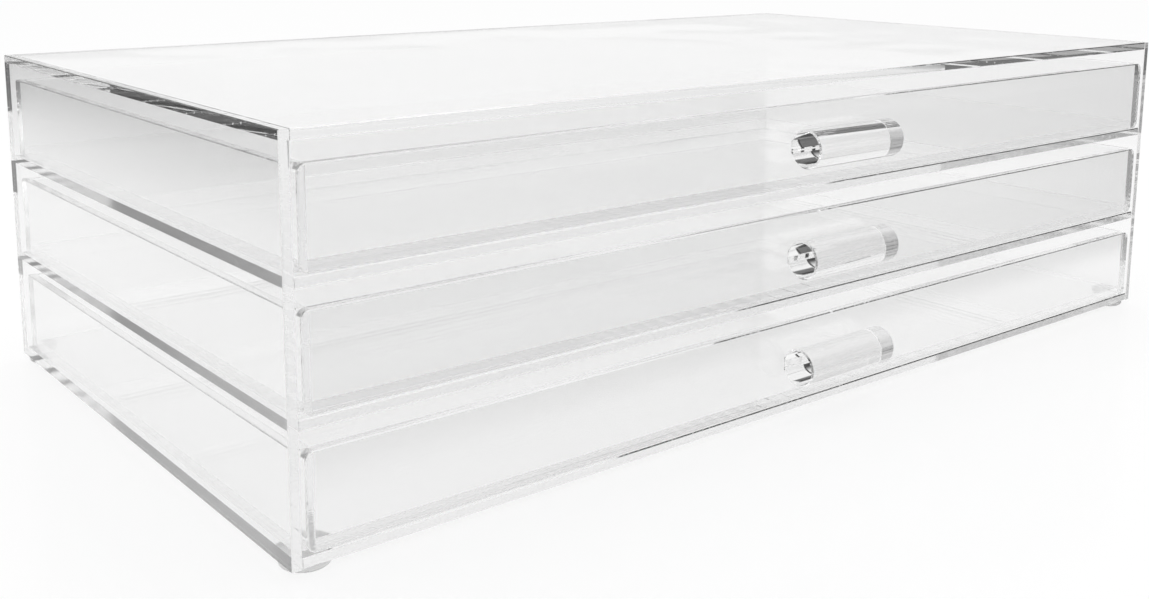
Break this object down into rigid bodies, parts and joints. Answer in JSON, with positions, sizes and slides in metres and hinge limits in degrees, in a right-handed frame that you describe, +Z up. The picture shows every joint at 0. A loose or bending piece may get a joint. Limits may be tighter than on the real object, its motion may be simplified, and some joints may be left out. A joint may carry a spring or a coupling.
{
  "type": "acrylic jewelry organizer",
  "caption": "Low clear acrylic case with stacked shallow drawers that slide out to the front by round rod handles; keeps jewellery sorted and in view.",
  "frame": {"origin": "on the standing surface, under the middle of the box round the whole object, handles included", "axes": "+X to the right along the width, -Y to the front where the handles are, +Z up"},
  "size_m": [0.4, 0.2304, 0.1141],
  "materials": {
    "acrylic_sheet": "clear cast acrylic sheet, polished faces, flame-polished cut edges",
    "acrylic_rod": "clear extruded acrylic rod, polished ends",
    "soft_foot": "clear soft polyurethane"
  },
  "bodies": {
    "case": {"left_side_panel": "acrylic_sheet", "right_side_panel": "acrylic_sheet", "bottom_panel": "acrylic_sheet", "lower_shelf": "acrylic_sheet", "upper_shelf": "acrylic_sheet", "top_panel": "acrylic_sheet", "back_panel": "acrylic_sheet", "front_left_foot": "soft_foot", "front_right_foot": "soft_foot", "rear_left_foot": "soft_foot", "rear_right_foot": "soft_foot"},
    "bottom_drawer": {"bottom_drawer_front": "acrylic_sheet", "bottom_drawer_back": "acrylic_sheet", "bottom_drawer_left_side": "acrylic_sheet", "bottom_drawer_right_side": "acrylic_sheet", "bottom_drawer_floor": "acrylic_sheet", "bottom_drawer_handle": "acrylic_rod"},
    "middle_drawer": {"middle_drawer_front": "acrylic_sheet", "middle_drawer_back": "acrylic_sheet", "middle_drawer_left_side": "acrylic_sheet", "middle_drawer_right_side": "acrylic_sheet", "middle_drawer_floor": "acrylic_sheet", "middle_drawer_handle": "acrylic_rod"},
    "top_drawer": {"top_drawer_front": "acrylic_sheet", "top_drawer_back": "acrylic_sheet", "top_drawer_left_side": "acrylic_sheet", "top_drawer_right_side": "acrylic_sheet", "top_drawer_floor": "acrylic_sheet", "top_drawer_handle": "acrylic_rod"}
  },
  "joints": [
    {"name": "bottom_drawer_slide", "type": "slide", "parent": "case", "child": "bottom_drawer", "axis": [0, -1, 0], "range_m": [0, 0.165]},
    {"name": "middle_drawer_slide", "type": "slide", "parent": "case", "child": "middle_drawer", "axis": [0, -1, 0], "range_m": [0, 0.165]},
    {"name": "top_drawer_slide", "type": "slide", "parent": "case", "child": "top_drawer", "axis": [0, -1, 0], "range_m": [0, 0.165]}
  ]
}
